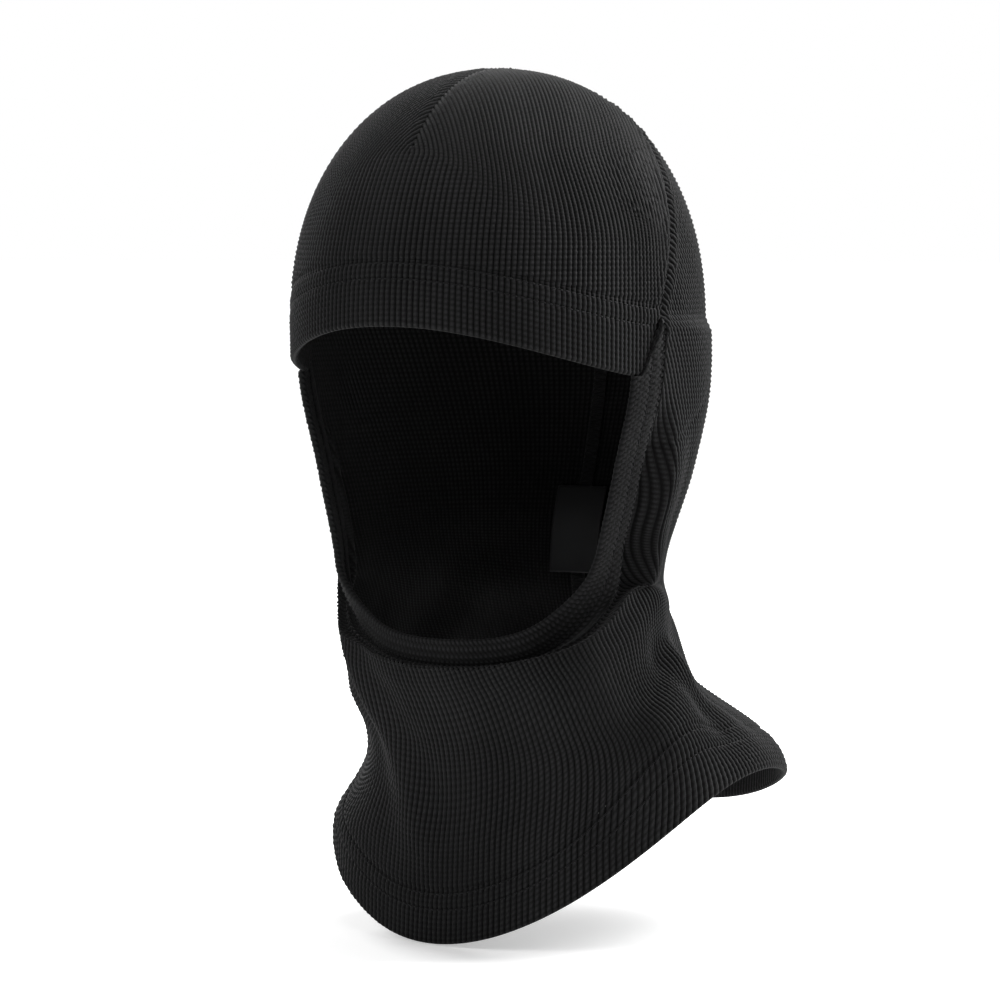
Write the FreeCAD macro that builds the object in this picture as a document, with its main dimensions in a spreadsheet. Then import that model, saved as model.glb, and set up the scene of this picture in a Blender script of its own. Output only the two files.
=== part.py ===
"""Open-face balaclava in ribbed thermal knit, in the shape it takes when worn.

Frame: +Z up, the face looks along -Y, +X is the wearer's left.  The origin is the
centre of the wearer's head at the level of the brow corners of the face opening.
Millimetres.  Every layer of cloth is a closed solid cut from nested copies of one
body form, so a layer follows the form when a size of the form changes.
"""
import FreeCAD, Part
import math
import os
from FreeCAD import Placement, Rotation, Vector

doc = FreeCAD.newDocument("balaclava")
sheet = doc.addObject("Spreadsheet::Sheet", "dims")

DIMENSIONS = (
    # the head and the crown
    ("head_half_width", 79.5),
    ("head_half_depth", 100.0),
    ("widest_level", 20.0),
    ("crown_rise", 102.0),
    ("crown_fullness", 2.15),
    # cross sections below the widest level, from the brow down to the skirt of the
    # bib: level, half width, half depth, shift to the wearer's left and to the back
    ("brow_level", 0.0),
    ("brow_half_width", 79.0),
    ("brow_half_depth", 99.0),
    ("brow_left", 0.0),
    ("brow_back", 0.0),
    ("ear_level", -40.0),
    ("ear_half_width", 73.5),
    ("ear_half_depth", 89.0),
    ("ear_left", 0.0),
    ("ear_back", -1.0),
    ("jaw_level", -72.0),
    ("jaw_half_width", 66.0),
    ("jaw_half_depth", 78.0),
    ("jaw_left", 0.0),
    ("jaw_back", -3.0),
    ("throat_level", -100.0),
    ("throat_half_width", 64.0),
    ("throat_half_depth", 73.0),
    ("throat_left", 1.0),
    ("throat_back", 4.0),
    ("collar_level", -128.0),
    ("collar_half_width", 69.0),
    ("collar_half_depth", 75.0),
    ("collar_left", 3.0),
    ("collar_back", 15.0),
    ("slope_level", -155.0),
    ("slope_half_width", 82.0),
    ("slope_half_depth", 81.0),
    ("slope_left", 6.0),
    ("slope_back", 30.0),
    ("bib_level", -190.0),
    ("bib_half_width", 91.0),
    ("bib_half_depth", 86.0),
    ("bib_left", 7.0),
    ("bib_back", 39.0),
    ("skirt_level", -232.0),
    ("skirt_half_width", 95.0),
    ("skirt_half_depth", 88.0),
    ("skirt_left", 7.0),
    ("skirt_back", 42.0),
    # cloth, thread and the gaps between layers
    ("cloth_thickness", 1.3),
    ("layer_gap", 0.3),
    ("thread_thickness", 0.35),
    ("seam_gap", 0.4),
    # face opening: an arched brow edge, upright cheek edges and a level chin edge
    ("opening_half_width", 75.0),
    ("brow_arch", 20.0),
    ("cheek_front", 33.0),
    ("opening_drop", 109.0),
    ("chin_rounding", 40.0),
    # seam that joins the cap panel to the hood panel
    ("seam_corner_front", 29.0),
    ("seam_lean", 0.54),
    ("dart_start_level", 88.0),
    # hems: width turned under, and the two needle rows of the cover stitch
    ("forehead_hem", 26.0),
    ("face_hem", 17.0),
    ("bottom_hem", 21.0),
    ("needle_gap", 6.0),
    ("needle_inset", 1.2),
    ("needle_row", 0.8),
    # the bottom edge: lowest in front, higher at the back, highest over the shoulders
    ("edge_front_level", -225.0),
    ("edge_back_level", -182.0),
    ("edge_side_rise", 50.0),
    ("edge_turn", -13.0),
    # seam allowances inside, and the blank care label in the nape
    ("allowance_width", 6.0),
    ("overlock_width", 5.0),
    ("label_width", 24.0),
    ("label_height", 34.0),
    ("label_top_level", -52.0),
)

for row, (alias, size) in enumerate(DIMENSIONS, start=1):
    sheet.set(f"A{row}", alias.replace("_", " "))
    sheet.set(f"B{row}", str(size))
    sheet.setAlias(f"B{row}", alias)
doc.recompute()


def dim(alias):
    """The value of one named size."""
    return float(sheet.get(alias))


BELOW_HEAD = ("brow", "ear", "jaw", "throat", "collar", "slope", "bib", "skirt")
RING_POINTS = 16
# A ring closes behind the left ear, away from every seam, slit and hem end.
RING_START = 6
CROWN_ANGLES = (0, 20, 38, 54, 67, 78)
FAR = 400.0

# Each layer surface lies this many cloths, gaps and threads inside the outer surface.
LAYERS = {
    "stitch_top": (0, -1, -1),
    "stitch_foot": (0, -1, 0),
    "cloth_outside": (0, 0, 0),
    "cloth_inside": (1, 0, 0),
    "ply_outside": (1, 1, 0),
    "ply_inside": (2, 1, 0),
    "overlock_outside": (2, 2, 0),
    "overlock_inside": (2, 2, 1),
    "label_outside": (2, 3, 1),
    "label_inside": (2, 3, 2),
}


def depth_of(layer):
    cloths, gaps, threads = LAYERS[layer]
    return (cloths * dim("cloth_thickness") + gaps * dim("layer_gap")
            + threads * dim("thread_thickness"))


def ring(level, half_width, half_depth, left, back):
    """One closed horizontal section of the body form."""
    points = []
    for step in range(RING_POINTS):
        turn = 2 * math.pi * (RING_START + step) / RING_POINTS
        points.append(Vector(left + half_width * math.sin(turn),
                             back - half_depth * math.cos(turn), level))
    curve = Part.BSplineCurve()
    curve.interpolate(points, PeriodicFlag=True)
    return Part.Wire(curve.toShape())


def body_form(layer):
    """The solid inside one layer surface, from the skirt up to the crown."""
    depth = depth_of(layer)
    rings = []
    for name in reversed(BELOW_HEAD):
        half_width = dim(name + "_half_width") - depth
        half_depth = dim(name + "_half_depth") - depth
        rings.append(ring(dim(name + "_level"), half_width, half_depth,
                          dim(name + "_left"), dim(name + "_back")))
    fullness = dim("crown_fullness")
    rise = dim("crown_rise") - depth
    for angle in CROWN_ANGLES:
        height = math.sin(math.radians(angle))
        spread = (1 - height ** fullness) ** (1 / fullness)
        rings.append(ring(dim("widest_level") + rise * height,
                          (dim("head_half_width") - depth) * spread,
                          (dim("head_half_depth") - depth) * spread, 0, 0))
    rings.append(Part.Vertex(0, 0, dim("widest_level") + rise))
    form = doc.addObject("Part::Feature", layer)
    form.Shape = Part.makeLoft(rings, True)
    return form


def boolean(kind, name, base, tool):
    result = doc.addObject(kind, name)
    result.Base = base
    result.Tool = tool
    return result


def common(name, base, tool):
    return boolean("Part::Common", name, base, tool)


def cut(name, base, tool):
    return boolean("Part::Cut", name, base, tool)


def fuse(name, base, tool):
    return boolean("Part::Fuse", name, base, tool)


def box(name, low, high):
    """A box between two corners, each given as three expressions."""
    block = doc.addObject("Part::Box", name)
    for size, axis, start, end in zip(("Length", "Width", "Height"), "xyz", low, high):
        block.setExpression("Placement.Base." + axis, start)
        block.setExpression(size, f"({end}) - ({start})")
    return block


def in_front_of_seam(name, grow, floor):
    """Everything ahead of the cap seam, grown backwards, and above the level floor."""
    wedge = doc.addObject("Part::Wedge", name)
    wedge.Placement = Placement(Vector(0, 0, 0), Rotation(Vector(1, 0, 0), 90))
    wedge.Xmin = -FAR
    wedge.X2min = -FAR
    wedge.Xmax = FAR
    wedge.X2max = FAR
    wedge.Zmax = FAR
    wedge.Z2max = FAR
    wedge.Ymax = FAR
    wedge.setExpression("Ymin", floor)
    seam = f"dims.seam_corner_front - ({grow}) - dims.seam_lean"
    wedge.setExpression("Zmin", f"{seam} * ({floor})")
    wedge.setExpression("Z2min", f"{seam} * {FAR}")
    return wedge


def face_drop(name, grow):
    """The space of the face below the brow level, as the side view outlines it.

    The cheek edge is upright, the chin edge is level and one arc joins them.
    Growing the space by a hem's width moves its edge that far over the cloth.
    """
    rounding = dim("chin_rounding") + grow
    cheek = -dim("cheek_front") + grow
    chin = -dim("opening_drop") - grow
    top = dim("brow_level")
    slope = rounding * math.sqrt(0.5)
    middle = Vector(0, cheek - rounding + slope, chin + rounding - slope)
    arc_start = Vector(0, cheek, chin + rounding)
    arc_end = Vector(0, cheek - rounding, chin)
    corners = (Vector(0, -FAR, chin), Vector(0, -FAR, top), Vector(0, cheek, top))
    edges = [Part.makeLine(arc_end, corners[0]),
             Part.makeLine(corners[0], corners[1]),
             Part.makeLine(corners[1], corners[2]),
             Part.makeLine(corners[2], arc_start),
             Part.Arc(arc_start, middle, arc_end).toShape()]
    outline = Part.Face(Part.Wire(edges))
    outline.translate(Vector(-FAR, 0, 0))
    drop = doc.addObject("Part::Feature", name)
    drop.Shape = outline.extrude(Vector(2 * FAR, 0, 0))
    return drop


def brow_segment(name, grow):
    """The shallow arch of the brow edge, grown upwards."""
    disc = doc.addObject("Part::Cylinder", name + "_disc")
    arch_radius = ("(dims.opening_half_width ^ 2 + dims.brow_arch ^ 2)"
                   " / (2 * dims.brow_arch)")
    disc.setExpression("Radius", f"{arch_radius} + {grow}")
    disc.Height = FAR
    disc.Placement = Placement(Vector(0, 0, 0), Rotation(Vector(1, 0, 0), 90))
    disc.setExpression("Placement.Base.z", f"dims.brow_level + dims.brow_arch - {arch_radius}")
    upper = box(name + "_upper", (f"-{FAR}", f"-{FAR}", "dims.brow_level"), (f"{FAR}", "0", f"{FAR}"))
    return common(name, disc, upper)


def below_edge(name, raise_by):
    """Everything below the bottom edge, whose line is that of a lying cylinder."""
    rise = dim("edge_side_rise")
    half_width = dim("skirt_half_width")
    radius = (half_width ** 2 + rise ** 2) / (2 * rise)
    reach = dim("skirt_half_depth")
    tilt = math.degrees(math.atan2(dim("edge_back_level") - dim("edge_front_level"), 2 * reach))
    middle_level = (dim("edge_back_level") + dim("edge_front_level")) / 2
    lying = Rotation(Vector(1, 0, 0), -90)
    tilted = Rotation(Vector(1, 0, 0), tilt)
    turned = Rotation(Vector(0, 0, 1), dim("edge_turn"))
    turn = turned * tilted * lying
    centre = Vector(dim("skirt_left"), dim("skirt_back"), middle_level + radius)
    tunnel = doc.addObject("Part::Cylinder", name + "_tunnel")
    tunnel.Height = 2 * FAR
    tunnel.setExpression("Radius", "(dims.skirt_half_width ^ 2 + dims.edge_side_rise ^ 2)"
                         f" / (2 * dims.edge_side_rise) - {raise_by}")
    tunnel.Placement = Placement(centre - turn.multVec(Vector(0, 0, FAR)), turn)
    block = box(name + "_block", (f"-{FAR}", f"-{FAR}", f"-{FAR}"),
                (f"{FAR}", f"{FAR}", "dims.throat_level - 6"))
    return cut(name, block, tunnel)


def finish(piece, label):
    piece.Label = label
    SUB_PARTS.append(piece)


SUB_PARTS = []

forms = {}
for layer in LAYERS:
    forms[layer] = body_form(layer)
cloth = cut("cloth_layer", forms["cloth_outside"], forms["cloth_inside"])
ply = cut("ply_layer", forms["ply_outside"], forms["ply_inside"])
overlock = cut("overlock_layer", forms["overlock_outside"], forms["overlock_inside"])
top_thread = cut("top_thread_layer", forms["stitch_top"], forms["stitch_foot"])
label_layer = cut("label_layer", forms["label_outside"], forms["label_inside"])

HALF_ALLOWANCE = "dims.allowance_width / 2"
HALF_OVERLOCK = "dims.overlock_width / 2"
HEM_TOP = "dims.brow_level + dims.forehead_hem"

cap_space = in_front_of_seam("cap_space", "0", "dims.brow_level")
cap_space_and_gap = in_front_of_seam("cap_space_and_gap", "dims.seam_gap", "dims.brow_level - dims.seam_gap")
drop_edge = face_drop("drop_edge", 0)
brow_edge = brow_segment("brow_edge", "0")
face_opening = fuse("face_opening", drop_edge, brow_edge)
edge_waste = below_edge("edge_waste", "0")


def slit(name, half_width, low, high, floor):
    """A thin upright box in the middle plane."""
    return box(name, (f"-({half_width})", low, floor), (half_width, high, f"{FAR}"))


def cap_panel():
    front = common("cap_front", cloth, cap_space)
    opened = cut("cap_opened", front, brow_edge)
    dart = slit("dart_slit", "dims.seam_gap / 2", f"-{FAR}", f"{FAR}", "dims.dart_start_level")
    finish(cut("cap_panel", opened, dart), "cap_panel")


def hood_panel():
    behind = cut("hood_behind", cloth, cap_space_and_gap)
    opened = cut("hood_opened", behind, face_opening)
    edged = cut("hood_edged", opened, edge_waste)
    back = slit("back_slit", "dims.seam_gap / 2", "0", f"{FAR}", f"-{FAR}")
    finish(cut("hood_panel", edged, back), "hood_panel")


def forehead_hem():
    """The cloth of the cap turned under along the brow, and its cover stitch."""
    clear_of_seam = f"-({HALF_ALLOWANCE} + 2 * dims.seam_gap)"
    inside_cap = in_front_of_seam("hem_in_cap", clear_of_seam, "dims.brow_level")
    band = brow_segment("forehead_band", "dims.forehead_hem")
    strip = cut("forehead_strip", common("forehead_band_ply", ply, band), brow_edge)
    finish(common("forehead_hem_ply", strip, inside_cap), "forehead_hem_ply")
    rows = needle_rows("forehead", brow_segment, needle_lines("forehead_hem"))
    on_cap = common("forehead_rows_on_cloth", top_thread, rows)
    finish(common("forehead_cover_stitch", on_cap, inside_cap), "forehead_cover_stitch")


def needle_lines(hem):
    """How far from the edge each needle row starts and ends."""
    first = dim(hem) - dim("needle_inset")
    starts = (first, first - dim("needle_gap"))
    return [(start, start - dim("needle_row")) for start in starts]


def needle_rows(name, edge_maker, lines):
    """Two parallel bands that follow an edge, near the turned hem's inner end."""
    rows = []
    for number, (far, near) in enumerate(lines):
        outer = edge_maker(f"{name}_row_{number}_far", far)
        inner = edge_maker(f"{name}_row_{number}_near", near)
        rows.append(cut(f"{name}_row_{number}", outer, inner))
    return fuse(name + "_rows", *rows)


def face_hem():
    """The cloth of the hood turned under round the face, and its cover stitch."""
    below_cap = box("face_below_cap", (f"-{FAR}", f"-{FAR}", f"-{FAR}"),
                    (f"{FAR}", "0", "dims.brow_level - 2 * dims.seam_gap"))
    band = face_drop("face_band", dim("face_hem"))
    strip = cut("face_strip", common("face_band_ply", ply, band), drop_edge)
    finish(common("face_hem_ply", strip, below_cap), "face_hem_ply")
    rows = needle_rows("face", face_drop, needle_lines("face_hem"))
    on_hood = common("face_rows_on_cloth", top_thread, rows)
    finish(common("face_cover_stitch", on_hood, below_cap), "face_cover_stitch")


def bottom_hem():
    """The cloth of the bib turned under along the bottom edge, and its cover stitch."""
    band = below_edge("bottom_band", "dims.bottom_hem")
    strip = cut("bottom_strip", common("bottom_band_ply", ply, band), edge_waste)
    seam_clear = slit("bottom_seam_clear", HALF_ALLOWANCE, "0", f"{FAR}", f"-{FAR}")
    finish(cut("bottom_hem_ply", strip, seam_clear), "bottom_hem_ply")
    rows = needle_rows("bottom", below_edge, needle_lines("bottom_hem"))
    on_cloth = common("bottom_rows_on_cloth", top_thread, rows)
    back = slit("bottom_back_slit", "dims.seam_gap / 2", "0", f"{FAR}", f"-{FAR}")
    finish(cut("bottom_cover_stitch", on_cloth, back), "bottom_cover_stitch")


def seam_strip(name, layer, half_width):
    """A strip on the inside that follows the cap seam from temple to temple."""
    behind = in_front_of_seam(name + "_behind", half_width, HEM_TOP)
    ahead = in_front_of_seam(name + "_ahead", f"-({half_width})", HEM_TOP)
    band = cut(name + "_band", behind, ahead)
    finish(common(name, layer, band), name)


def dart_strip(name, layer, half_width):
    strip = common(name + "_long", layer, slit(name + "_box", half_width, f"-{FAR}", f"{FAR}",
                                               "dims.dart_start_level"))
    clear = in_front_of_seam(name + "_clear", f"-({HALF_ALLOWANCE} + dims.seam_gap)", "dims.brow_level")
    finish(common(name, strip, clear), name)


def back_strip(name, layer, half_width):
    strip = common(name + "_long", layer, slit(name + "_box", half_width, "0", f"{FAR}", f"-{FAR}"))
    clear = in_front_of_seam(name + "_clear", f"{HALF_ALLOWANCE} + dims.seam_gap", HEM_TOP)
    above_hem = below_edge(name + "_hem", "(dims.bottom_hem + dims.seam_gap)")
    finish(cut(name, cut(name + "_behind_seam", strip, clear), above_hem), name)


def care_label():
    tab = box("label_box", ("-dims.label_width / 2", "0", "dims.label_top_level - dims.label_height"),
              ("dims.label_width / 2", f"{FAR}", "dims.label_top_level"))
    finish(common("care_label", label_layer, tab), "care_label")


cap_panel()
hood_panel()
forehead_hem()
face_hem()
bottom_hem()
seam_strip("cap_seam_allowance", ply, HALF_ALLOWANCE)
seam_strip("cap_seam_overlock", overlock, HALF_OVERLOCK)
dart_strip("dart_allowance", ply, HALF_ALLOWANCE)
dart_strip("dart_overlock", overlock, HALF_OVERLOCK)
back_strip("back_seam_allowance", ply, HALF_ALLOWANCE)
back_strip("back_seam_overlock", overlock, HALF_OVERLOCK)
care_label()

doc.recompute()

for item in doc.Objects:
    if "Invalid" in item.State or "Error" in item.State:
        raise RuntimeError(f"{item.Name} failed to build: {item.State}")
for piece in SUB_PARTS:
    shape = piece.Shape
    if shape.isNull() or not shape.isValid() or not shape.Solids:
        raise RuntimeError(f"{piece.Label} is not a valid solid")

os.makedirs("parts", exist_ok=True)
for piece in SUB_PARTS:
    piece.Shape.exportStep(f"parts/{piece.Label}.step")
    corners = piece.Shape.BoundBox
    print(f"{piece.Label}: {len(piece.Shape.Solids)} solid(s), {piece.Shape.Volume:.0f} mm3,"
          f" z {corners.ZMin:.1f} to {corners.ZMax:.1f}")
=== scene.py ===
"""Open-face balaclava in ribbed thermal knit, worn shape, with turned hems and sewn seams."""
import math
import bpy
import numpy as np
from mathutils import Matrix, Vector


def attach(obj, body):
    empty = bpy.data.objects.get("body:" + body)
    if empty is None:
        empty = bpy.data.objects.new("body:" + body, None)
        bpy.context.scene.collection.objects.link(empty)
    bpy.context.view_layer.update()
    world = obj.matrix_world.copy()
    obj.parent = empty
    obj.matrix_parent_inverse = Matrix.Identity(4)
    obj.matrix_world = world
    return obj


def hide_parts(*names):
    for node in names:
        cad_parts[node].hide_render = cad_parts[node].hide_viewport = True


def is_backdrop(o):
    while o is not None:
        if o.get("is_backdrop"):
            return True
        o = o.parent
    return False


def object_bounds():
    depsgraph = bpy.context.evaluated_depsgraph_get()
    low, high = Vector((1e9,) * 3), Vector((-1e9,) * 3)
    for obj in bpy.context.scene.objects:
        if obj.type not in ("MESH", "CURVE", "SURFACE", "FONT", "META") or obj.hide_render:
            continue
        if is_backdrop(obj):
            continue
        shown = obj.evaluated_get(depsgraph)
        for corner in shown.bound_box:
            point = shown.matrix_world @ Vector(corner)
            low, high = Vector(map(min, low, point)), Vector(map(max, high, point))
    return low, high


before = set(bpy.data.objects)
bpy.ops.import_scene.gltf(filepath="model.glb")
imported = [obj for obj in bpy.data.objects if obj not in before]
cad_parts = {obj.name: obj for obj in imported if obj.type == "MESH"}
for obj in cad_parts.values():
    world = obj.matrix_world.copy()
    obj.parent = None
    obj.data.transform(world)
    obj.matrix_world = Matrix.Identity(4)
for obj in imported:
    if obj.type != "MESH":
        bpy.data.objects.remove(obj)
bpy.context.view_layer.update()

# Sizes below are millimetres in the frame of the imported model.  The face looks along
# -Y, +X is the wearer's left, and level 0 is at the brow corners of the face opening.
METRES = 0.001

CLOTH = 1.3
PLY_GAP = 0.3
HEAD_LEVEL = 20.0
CROWN_RISE = 102.0
NEAR_CROWN = 121.9
CROWN_FULLNESS = 2.15
SEAM_FRONT = 29.0
SEAM_LEAN = 0.54
SEAM_SLANT = math.hypot(1, SEAM_LEAN)
BROW_RADIUS = (75.0 ** 2 + 20.0 ** 2) / 40.0
BROW_CENTRE = 20.0 - BROW_RADIUS
CHIN_CENTRE = (-73.0, -69.0)
CHIN_ROUND = 40.0
FOREHEAD_HEM = 26.0
FACE_HEM = 17.0
BOTTOM_HEM = 21.0
NEEDLE_ROWS = (1.6, 7.6)
EDGE_RADIUS = (98.0 ** 2 + 50.0 ** 2) / 100.0
EDGE_CENTRE = np.array((8.0, 44.0, -203.5 + EDGE_RADIUS))
EDGE_TILT = math.radians(13.7)
EDGE_TURN = math.radians(-13.0)
EDGE_AXIS = np.array((-math.sin(EDGE_TURN) * math.cos(EDGE_TILT),
                      math.cos(EDGE_TURN) * math.cos(EDGE_TILT), math.sin(EDGE_TILT)))
HOOD_WALES = 236
WALE = 2.37
COURSE = 2.05
WALE_STOPS = np.array((0.0, 0.16, 0.38, 0.62, 0.84))
EVEN_ROWS_FROM = -60.0
BIB_LEVELS = (-240.0, -100.0)
NECK_RADIUS = 72.0
EAR_TURN = math.radians(114)
NAPE_TURN = math.radians(118)
BIB_FLARE_TURN = math.radians(-60)
DART_SHIFT = 0.8
DART_START = -79.0
CAP_HALF = 144.0
STRIP_HALF = 3.0
STRIP_COLUMNS = 9

# level, half width, half depth, shift to the wearer's left, shift to the back
SECTIONS = np.array((
    (-240.0, 98.2, 87.2, 8.0, 44.0),
    (-188.0, 94.0, 85.0, 9.0, 43.0),
    (-155.0, 88.0, 82.0, 10.0, 41.0),
    (-128.0, 70.0, 73.0, 3.5, 18.0),
    (-100.0, 66.0, 72.0, 0.0, 6.0),
    (-72.0, 67.0, 78.0, 0.0, -2.0),
    (-40.0, 73.5, 89.0, 0.0, -1.0),
    (0.0, 79.0, 99.0, 0.0, 0.0),
    (20.0, 79.5, 100.0, 0.0, 0.0),
))

# Each pair is a distance and how far the cloth moves out there, or up for CHIN_RISE.
# The distance is over the cloth from the face edge, or down from the brow for BIB_FLARE.
CHEEK_ROLL = ((-40, -2), (0, -2), (15, -2), (18.5, -5.4), (28, 6.2), (45, 3.0), (72, 0))
CHIN_ROLL = ((-40, -10), (0, -9), (6, -8), (10, -7.5), (17, -2), (25, 5), (34, 6), (55, 3), (75, 0))
CHIN_RISE = ((-40, 0), (0, 0), (6, -2), (10, -1), (17, 8), (25, 18), (34, 18), (55, 9), (85, 0))
BIB_FLARE = ((138, 0), (158, -5), (187, 4.5), (206, 3), (228, 0))

# soft creases in the neck of the hood: depth, width and the line they follow,
# as degrees round from the front and level
CREASES = (
    (-2.4, 6.0, ((-51, -108), (-40, -137), (-24, -173), (-15, -194))),
    (-2.8, 6.5, ((92, -70), (70, -92), (52, -113), (35, -133), (17, -157))),
    (3.0, 6.0, ((108, -104), (85, -117), (53, -141), (38, -158))),
    (-2.2, 7.0, ((87, -112), (88, -123), (94, -137), (93, -149))),
    (1.8, 7.0, ((-92, -74), (-74, -96), (-62, -118), (-50, -140))),
    (2.0, 8.0, ((150, -96), (128, -120), (112, -138))),
    (2.0, 8.0, ((-150, -92), (-126, -118), (-108, -140))),
    (1.6, 8.0, ((172, -70), (150, -82), (128, -86))),
    (1.6, 8.0, ((-176, -84), (-155, -90), (-132, -88))),
)


def smooth_step(value, low, high):
    share = np.clip((value - low) / (high - low), 0, 1)
    return share * share * (3 - 2 * share)


def through_stops(value, stops):
    """A line through the stops that is level at each of them."""
    places = np.array([stop[0] for stop in stops], float)
    heights = np.array([stop[1] for stop in stops], float)
    index = np.clip(np.searchsorted(places, value) - 1, 0, len(places) - 2)
    share = np.clip((value - places[index]) / (places[index + 1] - places[index]), 0, 1)
    share = share * share * (3 - 2 * share)
    return heights[index] + (heights[index + 1] - heights[index]) * share


def through_points(value, places, heights):
    """A smooth curve through the points."""
    slopes = np.gradient(heights, places)
    value = np.clip(value, places[0], places[-1])
    index = np.clip(np.searchsorted(places, value) - 1, 0, len(places) - 2)
    gap = places[index + 1] - places[index]
    t = (value - places[index]) / gap
    return ((2 * t ** 3 - 3 * t ** 2 + 1) * heights[index] + (t ** 3 - 2 * t ** 2 + t) * gap * slopes[index]
            + (3 * t ** 2 - 2 * t ** 3) * heights[index + 1] + (t ** 3 - t ** 2) * gap * slopes[index + 1])


def section(level):
    """Half width, half depth and shifts of the worn shape at each level."""
    half_width, half_depth, left, back = (
        through_points(np.minimum(level, HEAD_LEVEL), SECTIONS[:, 0], SECTIONS[:, column])
        for column in (1, 2, 3, 4))
    height = np.clip((level - HEAD_LEVEL) / CROWN_RISE, 0, 0.99999)
    spread = (1 - height ** CROWN_FULLNESS) ** (1 / CROWN_FULLNESS)
    return half_width * spread, half_depth * spread, left, back


def ray_to_cloth(turn, level, centre_x, centre_y):
    """Where a level ray from a centre, turned from the front, leaves the worn shape."""
    half_width, half_depth, left, back = section(level)
    step_x = np.sin(turn)
    step_y = -np.cos(turn)
    a = (step_x / half_width) ** 2 + (step_y / half_depth) ** 2
    off_x = centre_x - left
    off_y = centre_y - back
    b = off_x * step_x / half_width ** 2 + off_y * step_y / half_depth ** 2
    c = (off_x / half_width) ** 2 + (off_y / half_depth) ** 2 - 1
    reach = (-b + np.sqrt(np.maximum(b * b - a * c, 0))) / a
    return np.stack(np.broadcast_arrays(centre_x + reach * step_x, centre_y + reach * step_y, level), -1)


def hood_point(turn, level):
    """A point of the hood; its wales lean forward on the way up over the ears."""
    left, back = section(level)[2:]
    return ray_to_cloth(turn, level, left, back - 60 * smooth_step(level, -60, 110))


def front_point(turn, level):
    """A point of the cap; its wales close up a little towards the back."""
    return ray_to_cloth(turn, level, 0.0, 100.0)


def solve(gap, low, high):
    """The place between low and high where gap turns from negative to positive."""
    low, high = np.broadcast_arrays(low, high)
    low = low.astype(float).copy()
    high = high.astype(float).copy()
    for _ in range(34):
        middle = (low + high) / 2
        short = gap(middle) < 0
        low = np.where(short, middle, low)
        high = np.where(short, high, middle)
    return (low + high) / 2


def seam_side(points):
    """Distance in front of the cap seam's plane, in millimetres."""
    return (SEAM_LEAN * points[..., 2] - SEAM_FRONT - points[..., 1]) / SEAM_SLANT


def face_distance(points):
    """Distance over the cloth from the cheek and chin edge, seen from the side."""
    ahead = np.maximum(points[..., 1] - CHIN_CENTRE[0], 0)
    below = np.maximum(CHIN_CENTRE[1] - points[..., 2], 0)
    return np.hypot(ahead, below) - CHIN_ROUND


def brow_distance(points):
    return np.hypot(points[..., 0], points[..., 2] - BROW_CENTRE) - BROW_RADIUS


def edge_distance(points):
    """Distance above the bottom edge, which a lying cylinder cuts."""
    offset = points - EDGE_CENTRE
    along = offset @ EDGE_AXIS
    return EDGE_RADIUS - np.linalg.norm(offset - along[..., None] * EDGE_AXIS, axis=-1)


def crease_relief(turn, level):
    """How far the neck creases push the cloth in."""
    place = np.stack((turn * NECK_RADIUS, level), -1)
    total = np.zeros(level.shape)
    for depth, width, line in CREASES:
        line = np.array([(math.radians(a) * NECK_RADIUS, z) for a, z in line])
        nearest = np.full(level.shape, 1e9)
        along = np.zeros(level.shape)
        for number in range(len(line) - 1):
            leg = line[number + 1] - line[number]
            share = np.clip(((place - line[number]) @ leg) / (leg @ leg), 0, 1)
            distance = np.linalg.norm(place - line[number] - share[..., None] * leg, axis=-1)
            closer = distance < nearest
            nearest = np.where(closer, distance, nearest)
            along = np.where(closer, (number + share) / (len(line) - 1), along)
        fade = np.sin(np.pi * np.clip(along * 0.86 + 0.07, 0, 1))
        valley = np.exp(-(nearest / width) ** 2)
        shoulders = 0.55 * np.exp(-((nearest - 2 * width) / width) ** 2)
        total += depth * fade * (shoulders - valley)
    return total


def chin_lift(points):
    """How far the cloth is gathered upwards where the chin edge rolls inwards."""
    lift = through_stops(face_distance(points), CHIN_RISE)
    ahead = 1 - smooth_step(points[..., 1], 10, 45)
    return lift * (1 - smooth_step(points[..., 2], -107, -78)) * ahead


def soft_bump(value, middle, width):
    """A soft bump of height 1 about a middle value."""
    return np.exp(-((value - middle) / width) ** 2)


def hood_relief(points, turn):
    """The rolls and folds of the worn hood, outwards from the plain shape."""
    level = points[..., 2]
    edge = face_distance(points)
    cheek = through_stops(edge, CHEEK_ROLL)
    chin = through_stops(edge, CHIN_ROLL)
    upright = smooth_step(level, -107, -78)
    ahead = 1 - smooth_step(points[..., 1], 10, 45)
    roll = upright * cheek * smooth_step(-level, 2, 42) + (1 - upright) * chin * ahead
    under_fold = smooth_step(-level - 5 * np.abs(turn), -35, -27) * (1 - smooth_step(-level, 5, 75))
    bulge = 4.2 * under_fold * soft_bump(np.abs(turn), EAR_TURN, 0.5)
    pinch = -2.5 * soft_bump(level, -84, 16) * soft_bump(np.abs(turn), NAPE_TURN, 0.4)
    flare = through_stops(-level, BIB_FLARE) * soft_bump(turn, BIB_FLARE_TURN, 0.42)
    wander = 0.7 * np.sin(3 * turn + level / 31.0) * smooth_step(-level, 110, 170)
    return roll + bulge + pinch + flare + wander + crease_relief(turn, level)


def worn(form, turn):
    """The plain shape with its rolls and folds."""
    base = form + outward(form) * hood_relief(form, turn)[..., None]
    base[..., 2] += chin_lift(form)
    return base


def rib(phase):
    """Depth of the groove between two wales; phase counts wales, a groove at each whole number."""
    across = np.abs(phase - np.round(phase))
    uneven = 1 + 0.16 * np.sin(np.round(phase) * 12.9898)
    return -0.95 * uneven * np.exp(-(across / 0.15) ** 2) + 0.1 * across


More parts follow.
